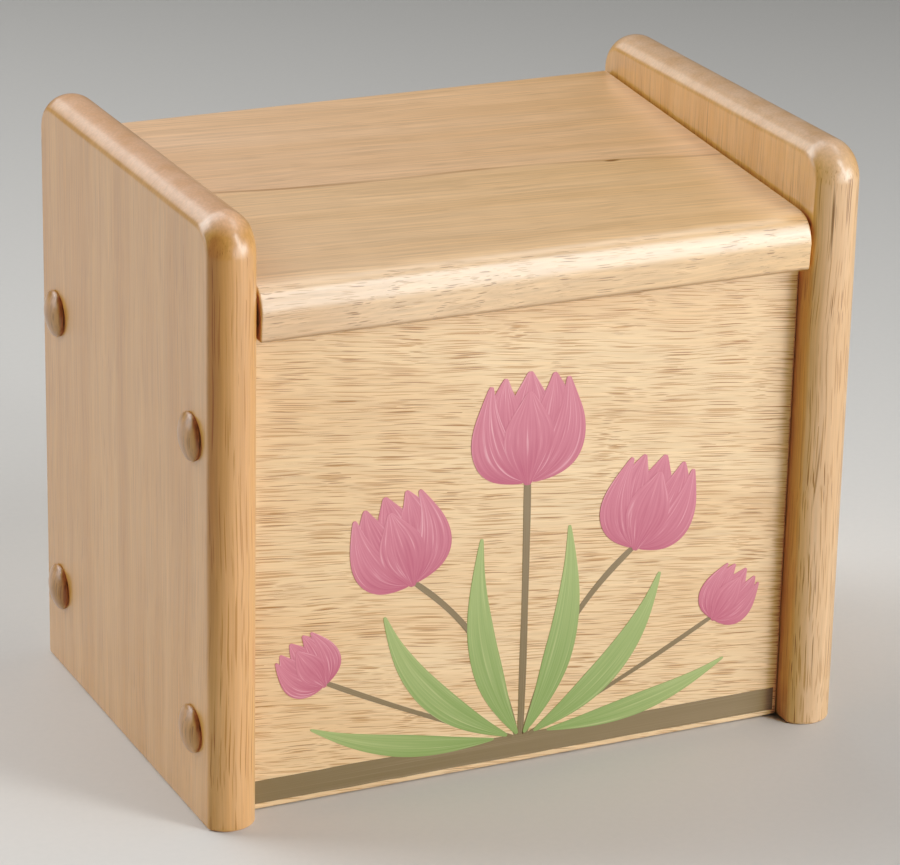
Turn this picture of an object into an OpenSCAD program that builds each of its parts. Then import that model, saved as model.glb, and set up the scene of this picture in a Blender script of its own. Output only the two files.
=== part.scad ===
// Recipe box of solid wood. Two round-edged sides carry a front panel, a back
// panel and a floor between them. The sloping lid turns on two steel pins that
// are hidden in its ends and in the sides. Screws hold the sides to the panels,
// and round-headed wooden plugs cover the screws.
// Lengths are in millimetres. X runs from left to right, Y from front to rear
// and Z up, and the origin is on the ground under the middle of the box.

/* [Case] */
// Clear width between the two sides
inner_w = 160; // [130:1:220]
// Depth of the sides from front to rear
case_d = 131; // [110:1:180]
// Height of the sides
case_h = 168; // [140:1:220]

/* [Sides] */
// Thickness of a side
side_t = 13.5; // [11:0.5:18]
// Depth of the rounding across the edge of a side, measured in from that edge
side_nose = 3.8; // [2:0.1:5]
// Radius of the upper corners of a side
side_corner_r = 11; // [9:0.5:24]

/* [Panels and floor] */
// Thickness of the front and back panels
panel_t = 10; // [8:0.5:13]
// Distance from the ends of the sides to the outer faces of the panels
panel_inset = 9.5; // [7:0.5:14]
// Height of the lower edges of the panels above the ground
panel_lift = 0.4; // [0.2:0.1:4]
// Thickness of the plywood floor
floor_t = 4; // [3:0.5:6]
// Height of the underside of the floor above the ground
floor_lift = 6; // [4.5:0.5:12]
// Depth of the grooves that hold the floor
groove_depth = 4; // [2:0.5:5]

/* [Lid] */
// Thickness of the lid
lid_t = 13.2; // [11:0.1:16]
// Fall of the lid towards the front, in degrees
lid_slope = 4; // [0:0.5:8]
// Depth of the lid's pivot below the top of the sides
pivot_drop = 17.85; // [12:0.05:26]
// How far the lid stands out past the front panel
lid_front_overhang = 6.6; // [2:0.1:9]
// How far the lid stands out past the back panel
lid_rear_overhang = 5; // [2:0.1:6]
// Depth of the rounding along the lid's front edge, from front to rear
lid_nose_d = 4.8; // [2:0.1:6]
// Height of the rounding along the lid's front edge
lid_nose_h = 7.8; // [4:0.1:10]
// Radius of the lid's upper rear edge
lid_rear_r = 2; // [0.5:0.1:4]

/* [Lid pins] */
// Diameter of the pins that the lid turns on
pin_d = 5; // [3:0.5:6]
// Depth of a pin in the lid
pin_in_lid = 14; // [8:1:30]
// Depth of a pin in a side
pin_in_side = 8; // [5:0.5:9]
// Chamfer on the ends of a pin
pin_chamfer = 0.5; // [0.2:0.1:1]

/* [Screws and plugs] */
// Height of the lower screws above the ground
screw_low_z = 25; // [16:1:45]
// Depth of the upper screws below the top of the sides
screw_high_drop = 61; // [45:1:80]
// Diameter of a screw's shank
screw_d = 4; // [3:0.5:5]
// Depth of a screw in the end of a panel
screw_bite = 26; // [15:1:40]
// Length of a screw's point
screw_point = 5; // [3:0.5:8]
// Diameter of a screw's countersunk head
screw_head_d = 8; // [6.5:0.5:9]
// Height of a screw's countersunk head
screw_head_h = 2.4; // [1.5:0.1:3.5]
// Length of each slot of the cross in a screw's head
screw_slot_l = 4.4; // [3:0.1:5]
// Width of each slot of the cross in a screw's head
screw_slot_w = 1; // [0.6:0.1:1.4]
// Depth of the cross in a screw's head
screw_slot_h = 1.4; // [0.8:0.1:1.8]
// Wood between the inner face of a side and the bottom of a plug hole
plug_floor = 6; // [4:0.5:8]
// Diameter of a plug's shank
plug_d = 9.5; // [9:0.5:11]
// Diameter of a plug's head
plug_head_d = 13; // [11:0.5:18]
// Height of a plug's head at the crown
plug_head_h = 3; // [1.5:0.1:5]
// Height of a plug's head at the rim
plug_rim_h = 1.2; // [0.4:0.1:1.4]

/* [Clearances] */
// Gap at each end of the lid
lid_end_gap = 0.8; // [0.3:0.1:2]
// Gap between the closed lid and the front panel
lid_seat_gap = 0.3; // [0.1:0.1:1]
// Gap between the lid's rolling rear edge and the back panel
lid_roll_gap = 0.8; // [0.3:0.1:2]
// Running clearance round a pin in a side
pin_run_gap = 0.05; // [0.02:0.01:0.1]
// Clearance round a pin in the lid
pin_hold_gap = 0.01; // [0:0.01:0.03]
// Clearance past the end of a pin, screw or plug in its hole
hole_end_gap = 0.5; // [0.2:0.1:1]
// Clearance round a screw's shank
screw_gap = 0.1; // [0.05:0.05:0.3]
// Clearance round a plug's shank
plug_gap = 0.05; // [0.02:0.01:0.2]
// Clearance over the floor in its grooves
groove_gap = 0.2; // [0.1:0.1:0.5]
// Clearance past the edges of the floor in its grooves
groove_end_gap = 0.5; // [0.2:0.1:1.5]

/* [Hidden] */
$fn = 96;
// Overshoot of a cut past the face that it opens in
cut = 1;

side_wood = "#c9a377";
panel_wood = "#e2c08e";
lid_wood = "#d2ae82";
plug_wood = "#9c8468";
plywood = "#cdb38a";
steel = "#a9abad";

// Radius of the arc that spans a side's thickness and is side_nose deep
side_nose_r = (pow(side_t / 2, 2) + pow(side_nose, 2)) / (2 * side_nose);
// Radius of the arc that leaves the lid's front face and ends at its top
lid_nose_r = (pow(lid_nose_h, 2) + pow(lid_nose_d, 2)) / (2 * lid_nose_d);

panel_face_y = case_d / 2 - panel_inset;
panel_inner_y = panel_face_y - panel_t;
fastener_y = panel_face_y - panel_t / 2;
screw_high_z = case_h - screw_high_drop;

pivot_y = panel_face_y + lid_rear_overhang - lid_t / 2;
pivot_z = case_h - pivot_drop;
lid_w = inner_w - 2 * lid_end_gap;
lid_front_y = -panel_face_y - lid_front_overhang;
// Place of the lid's front face, measured along the lid from its pivot
lid_front_u = (lid_front_y - pivot_y - lid_t / 2 * sin(lid_slope)) / cos(lid_slope);

groove_h = floor_t + groove_gap;
floor_reach = groove_depth - groove_end_gap;

fastener_places = [
    for (side = ["left", "right"], end = ["front", "rear"], height = ["low", "high"])
        [side, end, height]
];
function fastener_name(kind, place) = str(kind, "_", place[0], "_", place[1], "_", place[2]);

// Height of a plane that lies a given gap under the closed lid
function under_lid_z(y, gap) =
    pivot_z + (y - pivot_y) * tan(lid_slope) - (lid_t / 2 + gap) / cos(lid_slope);

// Puts a part that is drawn along +Z on the inner face of a side, pointing outwards
module at_fastener(place) {
    x_flip = place[0] == "left" ? 1 : 0;
    y = place[1] == "front" ? -fastener_y : fastener_y;
    z = place[2] == "low" ? screw_low_z : screw_high_z;
    mirror([x_flip, 0, 0])
        translate([inner_w / 2, y, z])
            rotate([0, 90, 0])
                children();
}

module at_right_pivot() {
    translate([inner_w / 2, pivot_y, pivot_z])
        rotate([0, 90, 0])
            children();
}

// Draws a section in the Y-Z plane and runs it along X, centred
module along_x(length) {
    translate([-length / 2, 0, 0])
        rotate([90, 0, 90])
            linear_extrude(length)
                children();
}

// A board whose front, top and rear edges are rounded across its thickness
module round_edged_board() {
    core_t = (side_t + 2 * side_nose_r) / 2;
    straight_h = case_h - side_corner_r;
    straight_d = case_d - 2 * side_corner_r;
    intersection() {
        translate([-side_t / 2, -case_d, -cut])
            cube([side_t, 2 * case_d, 2 * case_h]);
        union() {
            translate([-core_t / 2, -case_d / 2 + side_nose_r, 0])
                cube([core_t, case_d - 2 * side_nose_r, case_h - side_nose_r]);
            translate([0, -straight_d / 2, case_h - side_nose_r])
                rotate([-90, 0, 0])
                    cylinder(r = side_nose_r, h = straight_d);
            for (flip = [0, 1])
                mirror([0, flip, 0]) {
                    translate([0, -case_d / 2 + side_nose_r, 0])
                        cylinder(r = side_nose_r, h = straight_h);
                    translate([0, -straight_d / 2, straight_h])
                        board_corner();
                }
        }
    }
}

// The rounded edge carried round an upper corner, from the front to the top
module board_corner() {
    rotate([0, -90, 0])
        rotate([0, 0, -90])
            rotate_extrude(angle = 90)
                intersection() {
                    translate([side_corner_r - side_nose_r, 0])
                        circle(r = side_nose_r);
                    translate([0, -side_nose_r])
                        square([side_corner_r + cut, 2 * side_nose_r]);
                }
}

// The groove for the floor, cut into an inner face
module floor_groove() {
    width = inner_w + 2 * groove_depth;
    depth = 2 * (panel_inner_y + groove_depth);
    translate([-width / 2, -depth / 2, floor_lift])
        cube([width, depth, groove_h]);
}

// The right side; the left one is its mirror image
module side_board() {
    difference() {
        translate([(inner_w + side_t) / 2, 0, 0])
            round_edged_board();
        floor_groove();
        at_right_pivot()
            translate([0, 0, -cut])
                cylinder(d = pin_d + 2 * pin_run_gap, h = cut + pin_in_side + hole_end_gap);
        for (place = fastener_places)
            if (place[0] == "right")
                at_fastener(place)
                    side_hole();
    }
}

// The stepped hole in a side: shank, countersunk head, then plug
module side_hole() {
    translate([0, 0, -cut])
        cylinder(d = screw_d + 2 * screw_gap, h = cut + plug_floor);
    screw_cone();
    translate([0, 0, plug_floor])
        cylinder(d = plug_d + 2 * plug_gap, h = side_t - plug_floor + cut);
}

module screw_cone() {
    translate([0, 0, plug_floor - screw_head_h])
        cylinder(d1 = screw_d, d2 = screw_head_d, h = screw_head_h);
}

module left_side() {
    color(side_wood)
        mirror([1, 0, 0])
            side_board();
}

module right_side() {
    color(side_wood)
        side_board();
}

// A panel between the sides, with its upper edge planed to the slope of the lid
module panel(outer_y, inner_y, gap) {
    difference() {
        along_x(inner_w)
            polygon([
                [outer_y, panel_lift],
                [inner_y, panel_lift],
                [inner_y, under_lid_z(inner_y, gap)],
                [outer_y, under_lid_z(outer_y, gap)]
            ]);
        floor_groove();
        for (place = fastener_places)
            at_fastener(place)
                pilot_hole();
    }
}

// The hole for a screw in the end of a panel
module pilot_hole() {
    depth = screw_bite + hole_end_gap;
    translate([0, 0, -depth])
        cylinder(d = screw_d + 2 * screw_gap, h = depth + cut);
}

module front_panel() {
    color(panel_wood)
        panel(-panel_face_y, -panel_inner_y, lid_seat_gap);
}

module back_panel() {
    color(panel_wood)
        panel(panel_face_y, panel_inner_y, lid_roll_gap);
}

module floor_panel() {
    width = inner_w + 2 * floor_reach;
    depth = 2 * (panel_inner_y + floor_reach);
    color(plywood)
        translate([-width / 2, -depth / 2, floor_lift])
            cube([width, depth, floor_t]);
}

// The lid's section, with its pivot at the origin and its front towards -X.
// The lower rear edge is a quarter round about the pivot, so that it rolls
// over the back panel.
module lid_section() {
    half_t = lid_t / 2;
    difference() {
        translate([lid_front_u, -half_t])
            square([half_t - lid_front_u, lid_t]);
        difference() {
            translate([lid_front_u - cut, half_t - lid_nose_h])
                square([cut + lid_nose_r, lid_nose_h + cut]);
            translate([lid_front_u + lid_nose_r, half_t - lid_nose_h])
                circle(r = lid_nose_r);
        }
        difference() {
            translate([0, -half_t - cut])
                square([half_t + cut, half_t + cut]);
            circle(r = half_t);
        }
        difference() {
            translate([half_t - lid_rear_r, half_t - lid_rear_r])
                square(lid_rear_r + cut);
            translate([half_t - lid_rear_r, half_t - lid_rear_r])
                circle(r = lid_rear_r);
        }
    }
}

module lid_board() {
    bore_depth = lid_end_gap + pin_in_lid + hole_end_gap;
    color(lid_wood)
        difference() {
            translate([0, pivot_y, pivot_z])
                rotate([lid_slope, 0, 0])
                    along_x(lid_w)
                        lid_section();
            for (flip = [0, 1])
                mirror([flip, 0, 0])
                    at_right_pivot()
                        translate([0, 0, -bore_depth])
                            cylinder(d = pin_d + 2 * pin_hold_gap, h = bore_depth);
        }
}

// The right pin; the left one is its mirror image
module lid_pin() {
    length = pin_in_lid + lid_end_gap + pin_in_side;
    tip_d = pin_d - 2 * pin_chamfer;
    at_right_pivot()
        translate([0, 0, -pin_in_lid - lid_end_gap]) {
            cylinder(d1 = tip_d, d2 = pin_d, h = pin_chamfer);
            translate([0, 0, pin_chamfer])
                cylinder(d = pin_d, h = length - 2 * pin_chamfer);
            translate([0, 0, length - pin_chamfer])
                cylinder(d1 = pin_d, d2 = tip_d, h = pin_chamfer);
        }
}

module left_lid_pin() {
    color(steel)
        mirror([1, 0, 0])
            lid_pin();
}

module right_lid_pin() {
    color(steel)
        lid_pin();
}

// A countersunk wood screw, drawn with the inner face of the side at zero
module screw() {
    shank_h = screw_bite - screw_point + plug_floor - screw_head_h;
    color(steel)
        difference() {
            union() {
                translate([0, 0, -screw_bite])
                    cylinder(d1 = 0, d2 = screw_d, h = screw_point);
                translate([0, 0, screw_point - screw_bite])
                    cylinder(d = screw_d, h = shank_h);
                screw_cone();
            }
            for (turn = [0, 90])
                rotate([0, 0, turn])
                    translate([-screw_slot_l / 2, -screw_slot_w / 2, plug_floor - screw_slot_h])
                        cube([screw_slot_l, screw_slot_w, screw_slot_h + cut]);
        }
}

// A round-headed plug, drawn with the inner face of the side at zero
module plug() {
    shank_z = plug_floor + hole_end_gap;
    crown = plug_head_h - plug_rim_h;
    crown_r = (pow(plug_head_d / 2, 2) + pow(crown, 2)) / (2 * crown);
    color(plug_wood) {
        translate([0, 0, shank_z])
            cylinder(d = plug_d, h = side_t - shank_z);
        translate([0, 0, side_t])
            rotate_extrude()
                intersection() {
                    translate([0, plug_head_h - crown_r])
                        circle(r = crown_r);
                    square([plug_head_d / 2, plug_head_h + cut]);
                }
    }
}

left_side();
right_side();
front_panel();
back_panel();
floor_panel();
lid_board();
left_lid_pin();
right_lid_pin();
for (place = fastener_places) {
    at_fastener(place) screw();
    at_fastener(place) plug();
}
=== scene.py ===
"""Recipe box with a lift-up lid: its looks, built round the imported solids.

The box's sizes are written in millimetres and turned to metres by MM, and the
studio's are in metres. X runs from left to right, Y from front to rear and Z
up, as in the solids.
"""
import math
import random

import bmesh
import bpy
from mathutils import Matrix, Vector


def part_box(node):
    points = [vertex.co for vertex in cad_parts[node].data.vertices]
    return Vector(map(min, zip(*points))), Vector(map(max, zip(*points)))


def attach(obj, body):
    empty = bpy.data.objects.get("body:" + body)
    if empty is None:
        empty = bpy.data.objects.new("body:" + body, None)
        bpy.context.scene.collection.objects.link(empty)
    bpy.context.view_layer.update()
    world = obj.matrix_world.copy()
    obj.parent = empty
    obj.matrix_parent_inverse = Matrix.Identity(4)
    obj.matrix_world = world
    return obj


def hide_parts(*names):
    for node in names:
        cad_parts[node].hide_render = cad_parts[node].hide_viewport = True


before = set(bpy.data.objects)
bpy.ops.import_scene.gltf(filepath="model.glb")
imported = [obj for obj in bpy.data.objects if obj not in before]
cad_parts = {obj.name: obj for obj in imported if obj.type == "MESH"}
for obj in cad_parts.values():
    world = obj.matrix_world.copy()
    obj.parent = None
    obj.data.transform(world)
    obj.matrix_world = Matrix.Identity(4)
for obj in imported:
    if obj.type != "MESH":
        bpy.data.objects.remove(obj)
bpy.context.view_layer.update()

MM = 0.001
X, Y, Z = 0, 1, 2
# The hand's small wobbles with the brush, the same each run
brush = random.Random(7)


# Helpers

# Sockets known by their place: a Map Range node's inputs, and a colour Mix
# node's inputs and output
VALUE, LOW, HIGH, TO_LOW, TO_HIGH = range(5)
SHARE, UNDER, OVER, MIXED = 0, 6, 7, 2
WHITE = (1, 1, 1)


def linear(hex_colour):
    """An sRGB hex colour as linear red, green, blue and alpha."""
    shares = [int(hex_colour[i:i + 2], 16) / 255 for i in (1, 3, 5)]
    return [s / 12.92 if s <= 0.04045 else ((s + 0.055) / 1.055) ** 2.4
            for s in shares] + [1.0]


def add(tree, kind, inputs=None, **settings):
    """Adds a node with its settings. Inputs are values, or outputs to link."""
    made = tree.nodes.new("ShaderNode" + kind)
    for name, value in settings.items():
        setattr(made, name, value)
    for socket, value in (inputs or {}).items():
        if isinstance(value, bpy.types.NodeSocket):
            tree.links.new(value, made.inputs[socket])
        else:
            made.inputs[socket].default_value = value
    return made


def new_material(name):
    """An empty node material, and its node tree."""
    material = bpy.data.materials.new(name)
    material.use_nodes = True
    material.node_tree.nodes.clear()
    return material, material.node_tree


def grain(length, width):
    """Pattern scale along and across the grain, from sizes in millimetres."""
    return (1 / (length * MM), 1 / (width * MM), 1 / (width * MM))


def grain_layers(tree, place, sizes, rough):
    """Soft noise drawn out along the grain, one layer for each size."""
    layers = []
    for size in sizes:
        stretched = add(tree, "VectorMath", {0: place, 1: grain(*size)},
                        operation="MULTIPLY").outputs[0]
        layers.append(add(tree, "TexNoise", {
            "Vector": stretched, "Scale": 1.0, "Detail": 3.0,
            "Roughness": rough}).outputs["Fac"])
    return layers


def inside(tree, place, ramps):
    """How far a place lies inside the zone that some ramps bound.

    A ramp is an axis, the two places in millimetres where it starts and is
    full, and the share that it starts from.
    """
    axes = add(tree, "SeparateXYZ", {0: place}).outputs
    share = 1.0
    for axis, start, full, least in ramps:
        ramp = add(tree, "MapRange", {
            VALUE: axes[axis], LOW: start * MM, HIGH: full * MM,
            TO_LOW: least}).outputs[0]
        share = add(tree, "Math", {0: ramp, 1: share},
                    operation="MULTIPLY").outputs[0]
    return share


def tinted(tree, colour, share, tint, start=WHITE):
    """A colour times a tint: start where the share is 0, tint where it's 1."""
    cast = add(tree, "Mix", {SHARE: share, UNDER: (*start, 1),
                             OVER: (*tint, 1)},
               data_type="RGBA").outputs[MIXED]
    return add(tree, "VectorMath", {0: colour, 1: cast},
               operation="MULTIPLY").outputs[0]


def only(piece):
    """Makes a piece the one that is selected and active."""
    bpy.ops.object.select_all(action="DESELECT")
    piece.select_set(True)
    bpy.context.view_layer.objects.active = piece


# Rubberwood

# How squarely a surface looks out of a board's face or end where its tint
# starts and is full, and where its pores are faded and are whole
FACE_TINTED, END_TINTED = (0.35, 0.95), (0.55, 0.95)
FACE_PORES, END_PORES = (0.95, 0.75), (0.6, 0.2)
# The grain wanders off its line this far, in waves of this length and width
WANDER, WANDER_SIZE = 4, (60, 30)
# A pore is solid to this share of its reach, and the least pores have these
# girths: a share of the layer's where each cell has one, or a bare trace
PORE_CORE, LEAST_SHARE, LEAST_GIRTH = 0.6, 0.3, 0.02
# Fibres and pores are sunk this deep, and change the sheen this much
RELIEF, SHEEN_CHANGE = 0.06, 0.04


def rubberwood(name, turn, face, end, pale, warm, cloud, fibre, pores, rough,
               coat_rough=0.28, coat_ior=1.5, face_share=1.0, face_tint=WHITE,
               end_tint=WHITE, toward=None, silk=(0.88, 1.08), marks=None):
    """Rubberwood, planed, sanded and clear lacquered.

    Pale straw to tan, in broad soft bands along the grain, with silky fibre
    streaks and short brown pore lines that the lacquer doesn't quite fill.
    Face and end are the axes across the board's faces and along its grain:
    the pores show less on the faces, by face_share, and not on the ends.
    Cloud and fibre are the sizes of the bands and of the streaks, and silk is
    how dark and how light the streaks are. A layer of pores is the size of
    its cells, the girth of a pore, the portion of cells that have one, how
    strongly it shows and its colour. Faces and ends take tints of their own;
    some of these tints are painted light, as noted where each board is made.
    Toward is an axis, the places where a tint starts and is full, and the
    tint; on the sides it is painted light and on the front panel painted
    shade. Marks draws what only this board has, and on the left side and the
    lid it also paints shade.
    """
    material, tree = new_material(name)
    seen = add(tree, "TexCoord").outputs
    place = seen["Object"]
    board = add(tree, "Mapping", {"Vector": place,
                                  "Rotation": turn}).outputs[0]
    slow = add(tree, "VectorMath", {0: board, 1: grain(*WANDER_SIZE)},
               operation="MULTIPLY").outputs[0]
    drift = add(tree, "TexNoise", {"Vector": slow, "Scale": 1.0,
                                   "Detail": 2.0}).outputs["Color"]
    along = add(tree, "VectorMath",
                {0: drift, 1: (0, WANDER * MM, WANDER * MM), 2: board},
                operation="MULTIPLY_ADD").outputs[0]
    bands, streaks = grain_layers(tree, along, (cloud, fibre), 0.55)
    tone = add(tree, "MapRange", {VALUE: bands, LOW: 0.32,
                                  HIGH: 0.68}).outputs[0]
    ground = add(tree, "Mix", {SHARE: tone, UNDER: linear(pale),
                               OVER: linear(warm)},
                 data_type="RGBA").outputs[MIXED]
    shade = add(tree, "MapRange", {
        VALUE: streaks, LOW: 0.3, HIGH: 0.7, TO_LOW: silk[0],
        TO_HIGH: silk[1]}).outputs[0]
    colour = add(tree, "VectorMath", {0: ground, "Scale": shade},
                 operation="SCALE").outputs[0]

    normal = add(tree, "SeparateXYZ", {0: seen["Normal"]}).outputs
    shown = 1.0
    for axis, (start, full), tint, (faded, whole), share in (
            (face, FACE_TINTED, face_tint, FACE_PORES, face_share),
            (end, END_TINTED, end_tint, END_PORES, 0.0)):
        square = add(tree, "Math", {0: normal[axis]},
                     operation="ABSOLUTE").outputs[0]
        turned = add(tree, "MapRange", {VALUE: square, LOW: start,
                                        HIGH: full}).outputs[0]
        colour = tinted(tree, colour, turned, tint)
        fade = add(tree, "MapRange", {
            VALUE: square, LOW: faded, HIGH: whole, TO_LOW: share,
            TO_HIGH: 1.0}).outputs[0]
        shown = add(tree, "Math", {0: fade, 1: shown},
                    operation="MULTIPLY").outputs[0]
    if toward:
        *ramp, tint = toward
        colour = tinted(tree, colour, inside(tree, place, [(*ramp, 0)]), tint)

    height = 0.0
    for size, girth, portion, depth, dark in pores:
        stretched = add(tree, "VectorMath", {0: along, 1: grain(*size)},
                        operation="MULTIPLY").outputs[0]
        cells = add(tree, "TexVoronoi", {"Vector": stretched,
                                         "Scale": 1.0}).outputs
        chance = add(tree, "SeparateXYZ", {0: cells["Color"]}).outputs[0]
        least = LEAST_SHARE * girth if portion == 1 else LEAST_GIRTH
        reach = add(tree, "MapRange", {
            VALUE: chance, LOW: 1 - portion, TO_LOW: least,
            TO_HIGH: girth}).outputs[0]
        away = add(tree, "Math", {0: cells["Distance"], 1: reach},
                   operation="DIVIDE").outputs[0]
        pore = add(tree, "MapRange", {
            VALUE: away, LOW: PORE_CORE, HIGH: 1.0, TO_LOW: depth,
            TO_HIGH: 0.0}, interpolation_type="SMOOTHSTEP").outputs[0]
        pore = add(tree, "Math", {0: pore, 1: shown},
                   operation="MULTIPLY").outputs[0]
        colour = add(tree, "Mix", {SHARE: pore, UNDER: colour,
                                   OVER: linear(dark)},
                     data_type="RGBA").outputs[MIXED]
        height = add(tree, "Math", {0: pore, 1: height},
                     operation="MAXIMUM").outputs[0]
    if marks:
        colour = marks(tree, place, colour)

    sheen = add(tree, "MapRange", {
        VALUE: streaks, LOW: 0.2, HIGH: 0.8, TO_LOW: rough - SHEEN_CHANGE,
        TO_HIGH: rough + SHEEN_CHANGE}).outputs[0]
    sunk = add(tree, "Math", {0: streaks, 1: 0.5, 2: height},
               operation="MULTIPLY_ADD").outputs[0]
    relief = add(tree, "Bump", {"Height": sunk, "Strength": 0.5,
                                "Distance": RELIEF * MM},
                 invert=True).outputs[0]
    shader = add(tree, "BsdfPrincipled", {
        "Base Color": colour, "Roughness": sheen, "Normal": relief,
        "IOR": 1.5, "Coat Weight": 0.85, "Coat Roughness": coat_rough,
        "Coat IOR": coat_ior, "Coat Normal": relief})
    add(tree, "OutputMaterial", {"Surface": shader.outputs[0]})
    return material


# Two long pores in the right board's front, as middle x, z, lean, half width,
# half length, strength and colour. They are solid to a share of their reach,
# and kept to that front
LONG_PORES = ((83.95, 148, 0, 0.42, 12.5, 0.8, "#5f3714"),
              (83.6, 75.5, 0.063, 0.36, 12, 0.65, "#7a4c20"))
LONG_CORE = 0.4
BOARD_FRONT = ((Y, -58, -60, 0),)


def long_pores(tree, place, colour):
    """Lays the long pores over the right board's colour, at its front."""
    front = inside(tree, place, BOARD_FRONT)
    for x, z, lean, width, length, strength, brown in LONG_PORES:
        across = add(tree, "VectorMath", {
            0: place, 1: (1 / (width * MM), 0, -lean / (width * MM))},
            operation="DOT_PRODUCT").outputs["Value"]
        along = add(tree, "VectorMath", {
            0: place, 1: (0, 0, 1 / (length * MM))},
            operation="DOT_PRODUCT").outputs["Value"]
        flat = add(tree, "CombineXYZ", {0: across, 1: along}).outputs[0]
        away = add(tree, "VectorMath", {
            0: flat, 1: ((x - lean * z) / width, z / length, 0)},
            operation="DISTANCE").outputs["Value"]
        pore = add(tree, "MapRange", {
            VALUE: away, LOW: LONG_CORE, HIGH: 1.0, TO_LOW: strength,
            TO_HIGH: 0.0}).outputs[0]
        pore = add(tree, "Math", {0: pore, 1: front},
                   operation="MULTIPLY").outputs[0]
        colour = add(tree, "Mix", {SHARE: pore, UNDER: colour,
                                   OVER: linear(brown)},
                     data_type="RGBA").outputs[MIXED]
    return colour


# Painted shade: where the left board's rounded front is darker and redder, on
# its flank near its outer face
FLANK_SHADE_ZONE = ((X, -87.5, -92.5, 0), (Y, -60.5, -62, 0), (Z, 40, 90, 0.3))
FLANK_SHADE_TINT = (0.84, 0.74, 0.76)


def painted_flank_shade(tree, place, colour):
    """Paints shade on the left board's rounded front, darker and redder
    towards its outer face.
    """
    return tinted(tree, colour, inside(tree, place, FLANK_SHADE_ZONE), FLANK_SHADE_TINT)


# The lid's one growth line, as (x, y) along the board in millimetres, and the
# span that its curve is drawn in
GROWTH_LINE = ((-79, 3.6), (-63.6, 1.7), (-48.6, -0.6), (-15.2, -2.9),
               (9.2, -3.3), (47.8, -7.6), (72.3, -11.7), (79, -12.4))
LINE_X, LINE_LOW, LINE_SPAN = 80, -16, 24
# Half widths of its core and of its edge, and the length over which it fades
LINE_CORE, LINE_EDGE, LINE_FADE = 0.15, 1.0, 35.7143
# The wood's tints in front of the line and behind it, and half their overlap
FRONT_TINT, REAR_TINT, OVERLAP = (1.0, 1.0, 0.985), (1.01, 0.985, 1.02), 1.5
# The line's small knot, and a dark line of painted shade along the lip's lower
# edge, where the lid hangs over the front: middle, half sizes, solid share,
# edge share, strength and colour
KNOT_AND_PAINTED_SHADE = (
    ((47.04, -7.92, 0), (2.8, 0.9, math.inf), 0.3, 1.2, 0.75, "#74401f"),
    ((0, -62.5, 133.7), (math.inf, 1.3, 1.3), 0.4, 1.2, 0.55, "#7d5228"))
# Painted shade: the lower left corner of the lid's front is tinted darker and
# more tan
LOWER_LEFT_SHADE_ZONE = ((X, -40, -64, 0), (Y, -57, -59, 0), (Z, 146, 141, 0))
LOWER_LEFT_SHADE_TINT = (0.88, 0.82, 0.74)


def growth_line(tree, place, colour):
    """Draws the growth line, and tones the wood apart on its two sides."""
    axes = add(tree, "SeparateXYZ", {0: place}).outputs
    share = add(tree, "MapRange", {VALUE: axes[X], LOW: -LINE_X * MM,
                                   HIGH: LINE_X * MM}).outputs[0]
    route = add(tree, "FloatCurve", {"Value": share})
    points = route.mapping.curves[0].points
    first, *between, last = (((x + LINE_X) / (2 * LINE_X),
                              (y - LINE_LOW) / LINE_SPAN)
                             for x, y in GROWTH_LINE)
    points[0].location, points[1].location = first, last
    for point in between:
        points.new(*point)
    route.mapping.update()
    line_y = add(tree, "MapRange", {
        VALUE: route.outputs[0], TO_LOW: LINE_LOW * MM,
        TO_HIGH: (LINE_LOW + LINE_SPAN) * MM}).outputs[0]
    behind = add(tree, "Math", {0: axes[Y], 1: line_y},
                 operation="SUBTRACT").outputs[0]
    apart = add(tree, "Math", {0: behind}, operation="ABSOLUTE").outputs[0]
    core = add(tree, "MapRange", {
        VALUE: apart, LOW: LINE_CORE * MM, HIGH: LINE_EDGE * MM, TO_LOW: 1.0,
        TO_HIGH: 0.0}, interpolation_type="SMOOTHSTEP").outputs[0]
    faded = add(tree, "TexNoise", {
        "Vector": place, "Scale": 1 / (LINE_FADE * MM),
        "Detail": 2.0}).outputs["Fac"]
    strength = add(tree, "MapRange", {
        VALUE: faded, LOW: 0.35, HIGH: 0.62, TO_LOW: 0.15,
        TO_HIGH: 0.6}).outputs[0]
    line = add(tree, "Math", {0: core, 1: strength},
               operation="MULTIPLY").outputs[0]
    rear = add(tree, "MapRange", {VALUE: behind, LOW: -OVERLAP * MM,
                                  HIGH: OVERLAP * MM}).outputs[0]
    toned = tinted(tree, colour, rear, REAR_TINT, FRONT_TINT)
    return add(tree, "Mix", {SHARE: line, UNDER: toned,
                             OVER: linear("#a3693a")},
               data_type="RGBA").outputs[MIXED]


def lid_marks(tree, place, colour):
    """Lays the growth line and the knot over the lid, and paints shade along
    its lip's lower edge and over the lower left corner of its front.
    """
    colour = growth_line(tree, place, colour)
    for middle, sizes, solid, edge, strength, brown in KNOT_AND_PAINTED_SHADE:
        centred = add(tree, "Mapping", {
            "Vector": place,
            "Location": [-at / size for at, size in zip(middle, sizes)],
            "Scale": [1 / (size * MM) for size in sizes]}).outputs[0]
        away = add(tree, "VectorMath", {0: centred},
                   operation="LENGTH").outputs["Value"]
        spot = add(tree, "MapRange", {
            VALUE: away, LOW: solid, HIGH: edge, TO_LOW: strength,
            TO_HIGH: 0.0}, interpolation_type="SMOOTHSTEP").outputs[0]
        colour = add(tree, "Mix", {SHARE: spot, UNDER: colour,
                                   OVER: linear(brown)},
                     data_type="RGBA").outputs[MIXED]
    return tinted(tree, colour, inside(tree, place, LOWER_LEFT_SHADE_ZONE), LOWER_LEFT_SHADE_TINT)


UPRIGHT = (0, math.pi / 2, 0)
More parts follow.
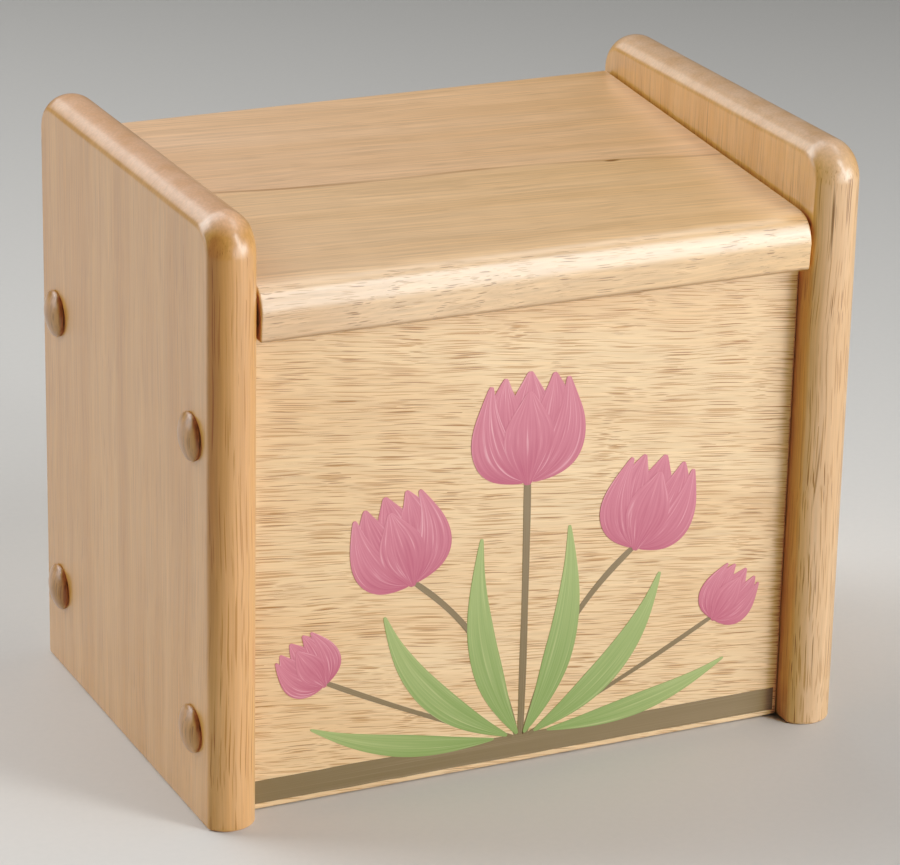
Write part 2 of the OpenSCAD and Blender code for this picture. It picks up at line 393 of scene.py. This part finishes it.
# The front's grain falls to the right, the back's is nearly level and the
# lid's runs to the front right
PANEL_GRAIN = (0, math.radians(-7), 0)
BACK_GRAIN = (0, math.radians(1.5), 0)
LID_GRAIN = (0, 0, math.radians(4))

# Painted light on the left side: its toward tint lightens it towards its foot,
# its end tint is a painted sheen on its top edge, and its marks are painted
# shade on its rounded front
left_wood = rubberwood(
    "Rubberwood, lacquered, left side", UPRIGHT, X, Z, "#d6a066", "#c99054",
    cloud=(180, 9), fibre=(45, 0.7), rough=0.4, face_share=0.45,
    coat_rough=0.22, face_tint=(0.99, 1.01, 0.97), end_tint=(1.3, 1.5, 2.45),
    toward=(Z, 120, 15, (1.11, 1.17, 1.30)), marks=painted_flank_shade,
    pores=(((30, 0.5), 0.6, 0.9, 0.6, "#a46a33"),
           ((22, 0.5), 0.42, 0.35, 0.62, "#865528")))
# Painted light on the right side: its toward tint lightens and cools it
# towards its foot, and its end tint is a painted sheen on its top edge
right_wood = rubberwood(
    "Rubberwood, lacquered, right side", UPRIGHT, X, Z, "#e0b88c", "#d3a675",
    cloud=(150, 8), fibre=(45, 0.7), rough=0.4, face_share=0.45,
    coat_rough=0.22, face_tint=(1.02, 0.92, 0.65), end_tint=(0.98, 1.0, 1.15),
    toward=(Z, 110, 15, (1.04, 1.08, 1.13)), marks=long_pores,
    pores=(((22, 0.42), 0.6, 1, 0.7, "#a87840"),
           ((26, 0.5), 0.46, 0.6, 0.82, "#80542a")))
# Painted shade on the front panel: its toward tint darkens and warms it
# towards its left end, beside the left side
panel_wood = rubberwood(
    "Rubberwood, lacquered, panels", PANEL_GRAIN, Y, X, "#efcea0", "#e7c08f",
    cloud=(70, 12), fibre=(25, 0.6), rough=0.42,
    toward=(X, -20, -80, (0.95, 0.92, 0.86)),
    pores=(((16, 0.33), 0.66, 1, 0.68, "#b27c3e"),
           ((16, 0.4), 0.5, 0.6, 0.8, "#97622a")))
back_wood = rubberwood(
    "Rubberwood, lacquered, back panel", BACK_GRAIN, Y, X, "#efcea0",
    "#e7c08f", cloud=(110, 12), fibre=(35, 0.6), rough=0.42,
    pores=(((26, 0.34), 0.6, 0.8, 0.55, "#b27c3e"),
           ((20, 0.4), 0.48, 0.35, 0.7, "#97622a")))
# Painted light on the lid: its face tint makes its top and underside lighter
# than its nose
lid_wood = rubberwood(
    "Rubberwood, lacquered, lid", LID_GRAIN, Z, X, "#eac7a0", "#e2bd93",
    cloud=(200, 10), fibre=(50, 0.8), rough=0.4, coat_ior=1.75,
    face_share=0.3, face_tint=(1.15, 1.12, 1.09),
    toward=(X, -80, 80, (0.96, 0.90, 0.74)), silk=(0.83, 1.11),
    marks=lid_marks,
    pores=(((16, 0.3), 0.55, 0.8, 0.5, "#b0824e"),
           ((12, 0.36), 0.5, 0.4, 0.75, "#86592a")))
plug_wood = rubberwood(
    "Rubberwood, turned and lacquered, plugs", UPRIGHT, Y, Z, "#c8945c",
    "#a06d3a", cloud=(40, 1.4), fibre=(40, 0.5), rough=0.42,
    pores=(((9, 0.6), 0.5, 0.7, 0.6, "#6a431c"),))


# Plywood, steel and paint

def birch_plywood():
    """Birch plywood, sanded, left bare: pale, dry, with faint long figure."""
    material, tree = new_material("Birch plywood, sanded")
    place = add(tree, "TexCoord").outputs["Object"]
    bands, fibres = grain_layers(tree, place, ((160, 12), (30, 0.9)), 0.5)
    ground = add(tree, "Mix", {SHARE: bands, UNDER: linear("#dcc39c"),
                               OVER: linear("#c6a578")},
                 data_type="RGBA").outputs[MIXED]
    shade = add(tree, "MapRange", {
        VALUE: fibres, LOW: 0.3, HIGH: 0.7, TO_LOW: 0.92,
        TO_HIGH: 1.05}).outputs[0]
    colour = add(tree, "VectorMath", {0: ground, "Scale": shade},
                 operation="SCALE").outputs[0]
    dry = add(tree, "MapRange", {VALUE: fibres, TO_LOW: 0.62,
                                 TO_HIGH: 0.74}).outputs[0]
    relief = add(tree, "Bump", {"Height": fibres, "Strength": 0.2,
                                "Distance": 0.05 * MM}).outputs[0]
    shader = add(tree, "BsdfPrincipled", {
        "Base Color": colour, "Roughness": dry, "Normal": relief, "IOR": 1.5})
    add(tree, "OutputMaterial", {"Surface": shader.outputs[0]})
    return material


def plated_steel():
    """Steel, zinc plated: bluish grey, softly mottled by the plating bath."""
    material, tree = new_material("Steel, zinc plated")
    place = add(tree, "TexCoord").outputs["Object"]
    mottle = add(tree, "TexNoise", {"Vector": place, "Scale": 1 / (1.5 * MM),
                                    "Detail": 2.0}).outputs["Fac"]
    colour = add(tree, "Mix", {SHARE: mottle, UNDER: linear("#aeb3b8"),
                               OVER: linear("#c9ccce")},
                 data_type="RGBA").outputs[MIXED]
    rough = add(tree, "MapRange", {VALUE: mottle, TO_LOW: 0.28,
                                   TO_HIGH: 0.42}).outputs[0]
    shader = add(tree, "BsdfPrincipled", {
        "Base Color": colour, "Roughness": rough, "Metallic": 1.0})
    add(tree, "OutputMaterial", {"Surface": shader.outputs[0]})
    return material


# Streaks that the brush's hairs leave across a stroke and along it
HAIRS = (16, 1.6, 1)
# How much the streaks vary the load of paint, about what level, and how much
# lighter it gets along a stroke
STREAK_GAIN, STREAK_LEVEL, DRYING = 1.7, -0.95, 0.75


def brushed_paint(name, deep, light, dry):
    """Acrylic paint, brushed on and lacquered over.

    Streaks run the way the brush was drawn, from a loaded deep tone to a
    lighter dry one, and each stroke has streaks of its own.
    """
    material, tree = new_material(name)
    along = add(tree, "UVMap", uv_map="UVMap").outputs[0]
    stroke = add(tree, "Attribute", attribute_name="stroke").outputs["Fac"]
    hairs = add(tree, "Mapping", {"Vector": along, "Scale": HAIRS}).outputs[0]
    streaks = add(tree, "TexNoise", {"Vector": hairs, "W": stroke,
                                     "Scale": 1.0, "Detail": 3.0},
                  noise_dimensions="4D").outputs["Fac"]
    length = add(tree, "SeparateXYZ", {0: along}).outputs[1]
    drawn = add(tree, "Math", {0: streaks, 1: STREAK_GAIN, 2: STREAK_LEVEL},
                operation="MULTIPLY_ADD").outputs[0]
    load = add(tree, "Math", {0: length, 1: DRYING, 2: drawn},
               operation="MULTIPLY_ADD").outputs[0]
    tone = add(tree, "MapRange", {VALUE: load, LOW: -0.25,
                                  HIGH: 0.8}).outputs[0]
    body = add(tree, "Mix", {SHARE: tone, UNDER: linear(deep),
                             OVER: linear(light)},
               data_type="RGBA").outputs[MIXED]
    pale = add(tree, "MapRange", {
        VALUE: streaks, LOW: 0.58, HIGH: 0.74, TO_LOW: 0.0,
        TO_HIGH: 0.6}).outputs[0]
    colour = add(tree, "Mix", {SHARE: pale, UNDER: body, OVER: linear(dry)},
                 data_type="RGBA").outputs[MIXED]
    rough = add(tree, "MapRange", {VALUE: streaks, TO_LOW: 0.36,
                                   TO_HIGH: 0.48}).outputs[0]
    relief = add(tree, "Bump", {"Height": streaks, "Strength": 0.3,
                                "Distance": 0.06 * MM}).outputs[0]
    shader = add(tree, "BsdfPrincipled", {
        "Base Color": colour, "Roughness": rough, "Normal": relief,
        "IOR": 1.5, "Coat Weight": 0.2, "Coat Roughness": 0.2})
    add(tree, "OutputMaterial", {"Surface": shader.outputs[0]})
    return material


plywood = birch_plywood()
steel = plated_steel()
rose_paint = brushed_paint("Acrylic paint, brushed, rose", "#b85c72",
                           "#d58594", "#efbfc4")
leaf_paint = brushed_paint("Acrylic paint, brushed, leaf green", "#7f9a5a",
                           "#a6b674", "#c9cd92")
earth_paint = brushed_paint("Acrylic paint, brushed, earth brown", "#7a6a52",
                            "#8b785e", "#9c8a6e")


# Boards with eased arrises

# Points this near are one point
WELD = 0.002
# Faces within this angle are one flat face, edges past this angle are
# arrises, and shading is smooth up to this angle
FLAT, ARRIS, SMOOTH = (math.radians(a) for a in (0.3, 24, 28))
# Edges this near a board's lowest point are its foot
FOOT_NEAR = 0.05
# A face is level whose normal is this near to upright
LEVEL = 0.99
# The lid's nose starts at this y, and its lip hangs in front of this one
NOSE_START, LIP_BACK = -58.73, -57.2
LIP_DROP = (0, 0.11 * MM, -1.64 * MM)
# The lid's top is cut in this many rows, this far apart, to roll into its
# nose. Points up to this far behind the nose's start and above this height
# are smoothed
ROLL_ROWS, ROLL_STEP, ROLL_DEPTH, ROLL_FLOOR = 8, 1.5, 11, 142.5
# Middles (y, z) of the plug and pin bores in a side, and how far edges of a
# bore are from them at most
BORES = [(y, z) for y in (-51, 51) for z in (25, 107)] + [(54.4, 150.15)]
BORE_REACH = 6


def in_bore(edge):
    """Whether an edge belongs to a plug, screw or pin bore in a side."""
    middle = (edge.verts[0].co + edge.verts[1].co) / 2 / MM
    return any(math.hypot(middle.y - y, middle.z - z) < BORE_REACH
               for y, z in BORES)


def pick_faces(board, test):
    """Selects the faces of a board in edit mode that pass a test."""
    bpy.ops.mesh.select_all(action="DESELECT")
    mesh = bmesh.from_edit_mesh(board.data)
    for face in mesh.faces:
        if test(face):
            face.select_set(True)
    bmesh.update_edit_mesh(board.data)


def shape_lid_front(lid):
    """Draws the lid's lip down, and rolls its top softly into its nose."""
    pick_faces(lid, lambda face: face.normal.z < -LEVEL)
    bpy.ops.mesh.bisect(plane_co=(0, LIP_BACK * MM, 0), plane_no=(0, 1, 0))
    pick_faces(lid, lambda face: face.normal.z < -LEVEL
               and face.calc_center_median().y < LIP_BACK * MM)
    bpy.ops.mesh.extrude_region_move(
        TRANSFORM_OT_translate={"value": LIP_DROP})
    bpy.ops.mesh.select_all(action="SELECT")
    bpy.ops.mesh.dissolve_limited(angle_limit=FLAT)
    for row in range(1, ROLL_ROWS + 1):
        pick_faces(lid, lambda face: face.normal.z > LEVEL)
        bpy.ops.mesh.bisect(
            plane_co=(0, (NOSE_START + ROLL_STEP * row) * MM, 0),
            plane_no=(0, 1, 0))
    bpy.ops.mesh.select_all(action="DESELECT")
    mesh = bmesh.from_edit_mesh(lid.data)
    for vert in mesh.verts:
        if (vert.co.y < (NOSE_START + ROLL_DEPTH) * MM
                and vert.co.z > ROLL_FLOOR * MM):
            vert.select_set(True)
    bmesh.update_edit_mesh(lid.data)
    bpy.ops.mesh.vertices_smooth(factor=0.5, repeat=10, xaxis=False)


def eased_board(node, piece_name, body, material, ease, foot,
                first=None):
    """A copy of a solid with its arrises sanded round, which stands for it.

    Ease is the width of the rounding, and foot its width along the lowest
    arris. First shapes the board before that.
    """
    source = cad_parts[node]
    piece = bpy.data.objects.new(piece_name, source.data.copy())
    bpy.context.scene.collection.objects.link(piece)
    only(piece)
    bpy.ops.mesh.customdata_custom_splitnormals_clear()
    bpy.ops.object.mode_set(mode="EDIT")
    bpy.ops.mesh.select_all(action="SELECT")
    bpy.ops.mesh.remove_doubles(threshold=WELD * MM)
    bpy.ops.mesh.dissolve_limited(angle_limit=FLAT)
    if first:
        first(piece)
    mesh = bmesh.from_edit_mesh(piece.data)
    lowest = min(v.co.z for v in mesh.verts)
    share = mesh.edges.layers.float.new("bevel_weight_edge")
    for edge in mesh.edges:
        if edge.calc_face_angle(0) > ARRIS and not in_bore(edge):
            low = max(v.co.z for v in edge.verts) < lowest + FOOT_NEAR * MM
            edge[share] = 1 if low else ease / foot
    bmesh.update_edit_mesh(piece.data)
    bpy.ops.object.mode_set(mode="OBJECT")
    sanded = piece.modifiers.new("sanded arrises", "BEVEL")
    sanded.limit_method, sanded.width, sanded.segments = "WEIGHT", foot * MM, 3
    sanded.use_clamp_overlap = sanded.loop_slide = False
    bpy.ops.object.modifier_apply(modifier=sanded.name)
    bpy.ops.object.shade_smooth_by_angle(angle=SMOOTH)
    flat = piece.modifiers.new("flat faces", "WEIGHTED_NORMAL")
    flat.weight, flat.keep_sharp = 100, True
    bpy.ops.object.modifier_apply(modifier=flat.name)
    piece.data.materials.clear()
    piece.data.materials.append(material)
    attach(piece, body)
    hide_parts(node)


eased_board("left_side", "left_side_board", "case", left_wood,
            ease=0.7, foot=1.1)
eased_board("right_side", "right_side_board", "case", right_wood,
            ease=0.7, foot=1.1)
eased_board("front_panel", "front_board", "case", panel_wood,
            ease=0.8, foot=0.8)
eased_board("back_panel", "back_board", "case", back_wood,
            ease=0.8, foot=0.8)
eased_board("lid_board", "lid_top", "lid", lid_wood,
            ease=0.6, foot=1.0, first=shape_lid_front)


# Turned plugs

# A plug's outline from its foot to its crown: height over the side, radius
PLUG_OUTLINE = ((-7, 4.3), (-6.6, 4.75), (0, 4.75), (0, 6.3), (0.25, 6.5),
                (0.6, 6.5), (0.95, 6.4), (1.25, 6.16), (1.5, 5.8), (1.84, 5.2),
                (2.28, 4.2), (2.63, 3.0), (2.89, 1.6), (3.0, 0.4))
PLUG_SIDES, PLUG_SMOOTH = 56, math.radians(40)
# The outer faces of the sides, to the left and right of the middle
SIDE_FACE = 93.5


def turned_plug():
    """One plug, turned on a lathe: a shank under a low domed head."""
    bpy.ops.object.select_all(action="DESELECT")
    height, radius = PLUG_OUTLINE[0]
    bpy.ops.mesh.primitive_circle_add(vertices=PLUG_SIDES, radius=radius * MM,
                                      fill_type="NGON",
                                      location=(0, 0, height * MM))
    plug = bpy.context.object
    bpy.ops.object.mode_set(mode="EDIT")
    bpy.ops.mesh.select_all(action="SELECT")
    for next_height, next_radius in PLUG_OUTLINE[1:]:
        bpy.ops.mesh.extrude_region_move(TRANSFORM_OT_translate={
            "value": (0, 0, (next_height - height) * MM)})
        spread = next_radius / radius
        bpy.ops.transform.resize(value=(spread, spread, 1))
        height, radius = next_height, next_radius
    bpy.ops.mesh.select_all(action="SELECT")
    bpy.ops.mesh.normals_make_consistent(inside=False)
    bpy.ops.object.mode_set(mode="OBJECT")
    bpy.ops.object.transform_apply(location=True, rotation=True, scale=True)
    bpy.ops.object.shade_smooth_by_angle(angle=PLUG_SMOOTH)
    plug.data.materials.append(plug_wood)
    return plug


pattern = turned_plug()
for node in [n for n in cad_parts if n.startswith("plug")]:
    low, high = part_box(node)
    side = 1 if high[0] > 0 else -1
    plug = pattern.copy()
    plug.data = pattern.data.copy()
    plug.name = plug.data.name = "turned_" + node
    bpy.context.scene.collection.objects.link(plug)
    plug.rotation_euler = (0, side * math.pi / 2, 0)
    plug.location = (side * SIDE_FACE * MM, (low[1] + high[1]) / 2,
                     (low[2] + high[2]) / 2)
    only(plug)
    bpy.ops.object.transform_apply(location=True, rotation=True, scale=True)
    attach(plug, "case")
    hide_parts(node)
bpy.data.objects.remove(pattern)


# Painted spray on the front

# The front panel's face, a film's thickness, and what each layer adds to it
PANEL_FACE, FILM, LAYER = -56, 0.07, 0.02
# A stroke's way is taken this share of its length to either side
NUDGE = 0.02
# Each stroke takes its streaks from another place in this range
STROKE_RANGE = 40
FILM_SMOOTH = math.radians(30)


def curve_point(route, share):
    """A point on the bend through a start, a pull and an end."""
    start, pull, end = (Vector(p) for p in route)
    return (start * (1 - share) ** 2 + pull * 2 * share * (1 - share)
            + end * share ** 2)


def brush_stroke(route, widths, layer, columns=5, soft=True):
    """One stroke of paint: a grid whose rows are drawn along a bend.

    The route is three (x, z) points on the panel. Widths are the stroke's
    half widths from its first row to its last. A soft stroke has round ends.
    """
    rows = len(widths)
    bpy.ops.object.select_all(action="DESELECT")
    bpy.ops.mesh.primitive_grid_add(x_subdivisions=columns - 1,
                                    y_subdivisions=rows - 1, size=2 * MM)
    film = bpy.context.object
    bpy.ops.object.mode_set(mode="EDIT")
    bpy.ops.mesh.select_mode(type="VERT")
    mesh = bmesh.from_edit_mesh(film.data)
    step = 2 * MM / (rows - 1)
    places = [round((v.co.y + MM) / step) for v in mesh.verts]
    for row, width in enumerate(widths):
        share = row / (rows - 1)
        at = curve_point(route, share)
        way = (curve_point(route, min(share + NUDGE, 1))
               - curve_point(route, max(share - NUDGE, 0)))
        start = Vector((0, -MM + row * step, 0))
        for vert, place in zip(mesh.verts, places):
            vert.select_set(place == row)
        mesh.select_flush_mode()
        bpy.ops.transform.resize(value=(width, 1, 1), center_override=start)
        bpy.ops.transform.rotate(value=math.atan2(way.x, way.y),
                                 orient_axis="Z", center_override=start)
        bpy.ops.transform.translate(
            value=(at.x * MM, at.y * MM - start.y, 0))
    bpy.ops.object.mode_set(mode="OBJECT")
    if soft:
        rounded = film.modifiers.new("rounded", "SUBSURF")
        rounded.levels = rounded.render_levels = 2
        bpy.ops.object.modifier_apply(modifier=rounded.name)
    thick = film.modifiers.new("film", "SOLIDIFY")
    thick.thickness = (FILM + LAYER * layer) * MM
    thick.offset = 1
    bpy.ops.object.modifier_apply(modifier=thick.name)
    own = film.data.attributes.new("stroke", "FLOAT", "POINT")
    drawn_at = brush.uniform(0, STROKE_RANGE)
    for value in own.data:
        value.value = drawn_at
    film.rotation_euler = (math.pi / 2, 0, 0)
    film.location = (0, PANEL_FACE * MM, 0)
    bpy.ops.object.transform_apply(location=True, rotation=True, scale=True)
    return film


def painted(name, strokes, material):
    """Joins strokes of one paint into a piece that rides on the case."""
    bpy.ops.object.select_all(action="DESELECT")
    for film in strokes:
        film.select_set(True)
    bpy.context.view_layer.objects.active = strokes[0]
    if len(strokes) > 1:
        bpy.ops.object.join()
    piece = bpy.context.object
    piece.name = piece.data.name = name
    bpy.ops.object.shade_smooth_by_angle(angle=FILM_SMOOTH)
    piece.data.materials.clear()
    piece.data.materials.append(material)
    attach(piece, "case")


def wobbly(width, change, rows):
    """Half widths of an even stroke, which change a little by chance."""
    return [width * brush.uniform(1 - change, 1 + change)
            for _ in range(rows)]


def lens(widest, where, rows=9, tip=0.12):
    """Half widths of a leaf or petal, widest at a share of its length."""
    swell = []
    for row in range(rows):
        share = row / (rows - 1)
        bend = share ** (math.log(0.5) / math.log(where))
        swell.append(widest * max(math.sin(math.pi * bend), tip)
                     * brush.uniform(0.96, 1.04))
    return swell


# A tulip's petals as (start, pull, end), widest half width, where, and layer
PETALS = (
    ((0, 5), (0, 16), (0, 27.5), 5.2, 0.55, 3),
    ((-2.5, 5), (-8, 15), (-6.2, 26.5), 4.6, 0.55, 4),
    ((2.5, 5), (8, 15), (6.2, 26.5), 4.6, 0.55, 4),
    ((-1.2, 0.6), (-13.5, 5), (-9.8, 25), 5.0, 0.5, 5),
    ((1.2, 0.6), (13.5, 5), (9.8, 25), 5.0, 0.5, 5),
    ((0, -0.4), (0, 11), (0, 22.5), 6.6, 0.5, 6),
)
# Tulip heads as place, foot x, foot z, lean in degrees, and size
HEADS = (("middle", 0, 82, 0, 1.15), ("left", -33, 58, 18, 1.0),
         ("right", 33, 58, -18, 1.0), ("far_left", -58, 33, 36, 0.62),
         ("far_right", 58, 33, -36, 0.62))
# Stems, leaves and stripe as three points of a bend, and half width
STEMS = [((s * x0, 8.4), (s * x1, z1), (s * x2, z2), w)
         for s in (-1, 1)
         for x0, x1, z1, x2, z2, w in ((1.2, 8, 40, 33, 59, 0.9),
                                       (2.4, 26, 17, 58, 34, 0.7))]
STEMS.append(((0, 8.4), (0.5, 45), (0, 84), 1.0))
LEAVES = [((s * x0, z0), (s * x1, z1), (s * x2, z2), w)
          for s in (-1, 1)
          for x0, z0, x1, z1, x2, z2, w in ((1, 9, 17, 33, 13, 68, 4.4),
                                            (4, 9, 33, 22, 41, 50, 4.2),
                                            (8, 8.6, 40, 9, 62, 21, 3.2))]
STRIPE, STRIPE_WIDTH = ((-78.6, 5.5), (0, 5.5), (78.6, 5.5)), 3.35
# Paint goes on in layers: stripe, stems and leaves, and then the petals
STRIPE_LAYER, STEM_LAYER, LEAF_LAYER = 0, 1, 2


def tulip(name, foot_x, foot_z, lean, size):
    """One tulip head, painted petal by petal from its foot."""
    turned = Matrix.Rotation(math.radians(lean), 2)
    foot = Vector((foot_x, foot_z))
    strokes = []
    for *bend, widest, where, layer in PETALS:
        route = [foot + turned @ Vector(p) * size for p in bend]
        strokes.append(brush_stroke(route, lens(widest * size, where), layer))
    painted(name, strokes, rose_paint)


stems = [brush_stroke(route, wobbly(width, change=0.15, rows=9),
                      STEM_LAYER)
         for *route, width in STEMS]
painted("painted_stems", stems, earth_paint)
leaves = [brush_stroke(route, lens(width, where=0.45), LEAF_LAYER)
          for *route, width in LEAVES]
painted("painted_leaves", leaves, leaf_paint)
for place, *head in HEADS:
    tulip("painted_tulip_" + place, *head)
stripe = brush_stroke(STRIPE, wobbly(STRIPE_WIDTH, change=0.03, rows=33),
                      STRIPE_LAYER, soft=False)
painted("painted_stripe", [stripe], earth_paint)


# Solids that show as they are

for node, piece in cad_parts.items():
    finish = (plywood if node == "floor_panel"
              else steel if node.startswith("screw") or node.endswith("pin")
              else None)
    if finish:
        piece.data.materials.clear()
        piece.data.materials.append(finish)


# Floor, light and camera

# The floor's sides, its radius and its rim's width. The rim sweeps up in
# steps, each a rise and a spread
FLOOR_SIDES, FLOOR_RADIUS, FLOOR_RIM = 96, 2.6, 1.2
SWEEP = ((0.08, 1.12), (0.22, 1.08), (0.42, 1.04), (0.4, 1.01))
# Painted shade darkens the paper this way, from the front left, between these
# distances from the middle, to this share
SHADE_WAY, SHADE_START, SHADE_END, SHADE_SHARE = (0.427, 0.904, 0), 0.05, 0.85, 0.54


def studio_floor():
    """A pale matt floor whose far rim sweeps up all round.

    Its paper has a fine tooth, and painted shade makes it darker to the rear.
    """
    bpy.ops.object.select_all(action="DESELECT")
    bpy.ops.mesh.primitive_circle_add(vertices=FLOOR_SIDES,
                                      radius=FLOOR_RADIUS, fill_type="NGON")
    floor = bpy.context.object
    floor.name = "studio_floor"
    bpy.ops.object.mode_set(mode="EDIT")
    bpy.ops.mesh.select_mode(type="EDGE")
    bpy.ops.mesh.select_all(action="SELECT")
    bpy.ops.mesh.inset(thickness=FLOOR_RIM)
    bpy.ops.mesh.select_all(action="DESELECT")
    mesh = bmesh.from_edit_mesh(floor.data)
    for edge in mesh.edges:
        edge.select_set(edge.is_boundary)
    bmesh.update_edit_mesh(floor.data)
    for rise, spread in SWEEP:
        bpy.ops.mesh.extrude_region_move(
            TRANSFORM_OT_translate={"value": (0, 0, rise)})
        bpy.ops.transform.resize(value=(spread, spread, 1))
    bpy.ops.object.mode_set(mode="OBJECT")
    bpy.ops.object.shade_smooth()
    material, tree = new_material("Paper sweep, matt")
    place = add(tree, "TexCoord").outputs["Object"]
    tooth = add(tree, "TexNoise", {"Vector": place, "Scale": 1 / (2 * MM),
                                   "Detail": 2.0}).outputs["Fac"]
    colour = add(tree, "Mix", {SHARE: tooth, UNDER: linear("#d9d8d4"),
                               OVER: linear("#dedcd8")},
                 data_type="RGBA").outputs[MIXED]
    depth = add(tree, "VectorMath", {0: place, 1: SHADE_WAY},
                operation="DOT_PRODUCT").outputs["Value"]
    graded = add(tree, "MapRange", {
        VALUE: depth, LOW: SHADE_START, HIGH: SHADE_END, TO_LOW: 1.0,
        TO_HIGH: SHADE_SHARE}).outputs[0]
    colour = add(tree, "VectorMath", {0: colour, "Scale": graded},
                 operation="SCALE").outputs[0]
    shader = add(tree, "BsdfPrincipled", {"Base Color": colour,
                                          "Roughness": 0.6})
    add(tree, "OutputMaterial", {"Surface": shader.outputs[0]})
    floor.data.materials.append(material)


def softbox(name, place, aim, width, height, power):
    """A soft rectangular light, aimed at a point."""
    lamp = bpy.data.lights.new(name, "AREA")
    lamp.shape = "RECTANGLE"
    lamp.size, lamp.size_y = width, height
    lamp.energy = power
    light = bpy.data.objects.new(name, lamp)
    light.location = place
    light.rotation_euler = (Vector(aim) - Vector(place)).to_track_quat(
        "-Z", "Y").to_euler()
    bpy.context.scene.collection.objects.link(light)


# The lights, as name, place, width, height and power in watts
LIGHTS = (
    ("key_strip", (0.65, -1.03, 0.96), 0.3, 0.9, 7.3),
    ("fill_front_low", (0.67, -1.53, 0.41), 1.1, 0.6, 6.6),
    ("fill_right_low", (1.25, -1.12, 0.42), 0.9, 0.6, 12.0),
    ("streak_back", (-0.43, 1.47, 1.03), 0.6, 0.8, 2.2),
    ("overhead_back", (-0.53, 0.91, 1.29), 0.9, 0.7, 2.4),
    ("overhead", (-0.12, 0.74, 1.385), 1.0, 0.8, 4.7),
    ("overhead_right", (0.64, 0.02, 1.42), 0.8, 0.4, 2.3),
    ("fill_left_low", (-1.29, 0.83, 0.40), 0.8, 0.6, 3.5),
    ("fill_left_high", (-0.97, 0.84, 1.05), 0.8, 0.8, 9.2))
BOX_MIDDLE = (0, 0, 0.08)

studio_floor()
for name, place, width, height, power in LIGHTS:
    softbox(name, place, BOX_MIDDLE, width, height, power)
world = bpy.data.worlds.new("studio")
bpy.context.scene.world = world
world.use_nodes = True
air = world.node_tree.nodes["Background"].inputs
air["Color"].default_value = linear("#f2f2f0")
air["Strength"].default_value = 0.02

# The camera as fitted to the photograph
LENS, SENSOR = 158.83, 36
CAMERA_PLACE = (-437.464, -932.433, 470.624)
YAW, PITCH, ROLL = (math.radians(a) for a in (25.307, 20.937, 1.24))

ahead = Vector((math.sin(YAW) * math.cos(PITCH),
                math.cos(YAW) * math.cos(PITCH), -math.sin(PITCH)))
level = Vector((math.cos(YAW), -math.sin(YAW), 0))
above = level.cross(ahead)
right = math.cos(ROLL) * level + math.sin(ROLL) * above
top = math.cos(ROLL) * above - math.sin(ROLL) * level
camera_data = bpy.data.cameras.new("camera")
camera_data.lens, camera_data.sensor_width = LENS, SENSOR
camera = bpy.data.objects.new("camera", camera_data)
camera.matrix_world = (
    Matrix.Translation(Vector(CAMERA_PLACE) * MM)
    @ Matrix((right, top, -ahead)).transposed().to_4x4())
bpy.context.scene.collection.objects.link(camera)
bpy.context.scene.camera = camera

# The photograph's tone: a mild contrast, as (scene light, shown light)
TONE = ((0.0513, 0.033), (0.0843, 0.065), (0.1133, 0.106), (0.171, 0.185),
        (0.264, 0.291), (0.448, 0.485), (0.693, 0.728))
ALL_COLOURS = 3
display = bpy.context.scene.view_settings
display.view_transform = "Standard"
display.use_curve_mapping = True
response = display.curve_mapping.curves[ALL_COLOURS].points
for point in TONE:
    response.new(*point)
display.curve_mapping.update()
